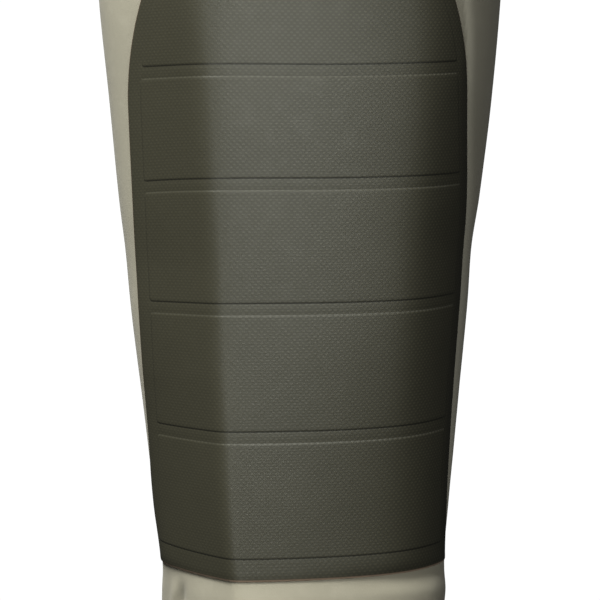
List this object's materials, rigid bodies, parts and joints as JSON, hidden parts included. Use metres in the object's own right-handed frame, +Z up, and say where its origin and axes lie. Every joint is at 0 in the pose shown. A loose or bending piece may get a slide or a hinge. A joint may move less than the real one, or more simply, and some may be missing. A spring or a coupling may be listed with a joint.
{
  "type": "hip wader",
  "caption": "Hip-high wader leg with moulded rubber boot foot, coated fabric leg, padded knee and shin patch, and a belt strap with slider at the outer rim.",
  "frame": {"origin": "on the ground under the middle of the heel, where the heel rests", "axes": "+Z up the leg, toes towards -Y, medial side towards +X, so the outer side with the strap is towards -X"},
  "size_m": [0.2249, 0.3344, 0.8501],
  "materials": {
    "fabric": "smooth coated fabric in a greyish sage, with a faint sheen and soft folds",
    "patch": "semi-gloss olive reinforcement sheet with embossed pads",
    "boot": "semi-matte moulded rubber in a dark olive brown",
    "sole": "matte near-black moulded rubber",
    "footbed": "felted grey footbed cover",
    "webbing": "woven dark olive webbing",
    "plastic": "moulded matte plastic"
  },
  "bodies": {
    "root": {"outsole": "sole", "insole": "footbed", "boot_upper": "boot", "leg_shaft": "fabric", "knee_patch": "patch", "belt_strap": "webbing", "strap_slider": "plastic"}
  },
  "joints": []
}
